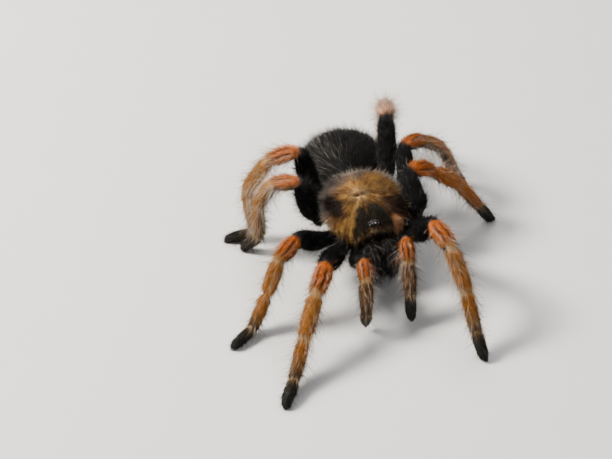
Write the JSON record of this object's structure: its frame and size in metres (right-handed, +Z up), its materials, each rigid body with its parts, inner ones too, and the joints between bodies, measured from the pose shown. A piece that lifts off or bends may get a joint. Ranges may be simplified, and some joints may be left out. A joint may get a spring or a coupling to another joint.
{
  "type": "tarantula spider model",
  "caption": "Life-size still model of a red-legged tarantula, standing with its legs spread, with a domed head shield and a plump dark abdomen.",
  "frame": {"origin": "on the floor under the middle of the spider's outline, at the level of its soles", "axes": "-Y is the way the spider faces, +X is its left side, +Z is up"},
  "size_m": [0.0852, 0.1002, 0.0315],
  "materials": {
    "black": "short black fur",
    "brown": "brown and orange velvet fur",
    "orange": "orange-red fur",
    "tan": "orange-tan fur with pale bands",
    "foot": "dense dark brush",
    "fang": "polished dark horn",
    "eye": "glossy black"
  },
  "bodies": {
    "root": {"carapace": "brown", "prosoma_underside": "black", "eye_mound": "eye", "abdomen": "black", "waist": "black", "chelicera_left": "black", "chelicera_right": "black", "fang_left": "fang", "fang_right": "fang", "spinneret_left": "foot", "spinneret_right": "foot", "leg_left_1_femur": "black", "leg_left_1_patella": "orange", "leg_left_1_tibia": "tan", "leg_left_1_metatarsus": "tan", "leg_left_1_tarsus": "foot", "leg_left_2_femur": "black", "leg_left_2_patella": "orange", "leg_left_2_tibia": "tan", "leg_left_2_metatarsus": "tan", "leg_left_2_tarsus": "foot", "leg_left_3_femur": "black", "leg_left_3_patella": "orange", "leg_left_3_tibia": "tan", "leg_left_3_metatarsus": "tan", "leg_left_3_tarsus": "foot", "leg_left_4_femur": "black", "leg_left_4_patella": "orange", "leg_left_4_tibia": "tan", "leg_left_4_metatarsus": "tan", "leg_left_4_tarsus": "foot", "palp_left_femur": "black", "palp_left_patella": "orange", "palp_left_tibia": "tan", "palp_left_tarsus": "foot", "leg_right_1_femur": "black", "leg_right_1_patella": "orange", "leg_right_1_tibia": "tan", "leg_right_1_metatarsus": "tan", "leg_right_1_tarsus": "foot", "leg_right_2_femur": "black", "leg_right_2_patella": "orange", "leg_right_2_tibia": "tan", "leg_right_2_metatarsus": "tan", "leg_right_2_tarsus": "foot", "leg_right_3_femur": "black", "leg_right_3_patella": "orange", "leg_right_3_tibia": "tan", "leg_right_3_metatarsus": "tan", "leg_right_3_tarsus": "foot", "leg_right_4_femur": "black", "leg_right_4_patella": "orange", "leg_right_4_tibia": "tan", "leg_right_4_metatarsus": "tan", "leg_right_4_tarsus": "foot", "palp_right_femur": "black", "palp_right_patella": "orange", "palp_right_tibia": "tan", "palp_right_tarsus": "foot"}
  },
  "joints": []
}
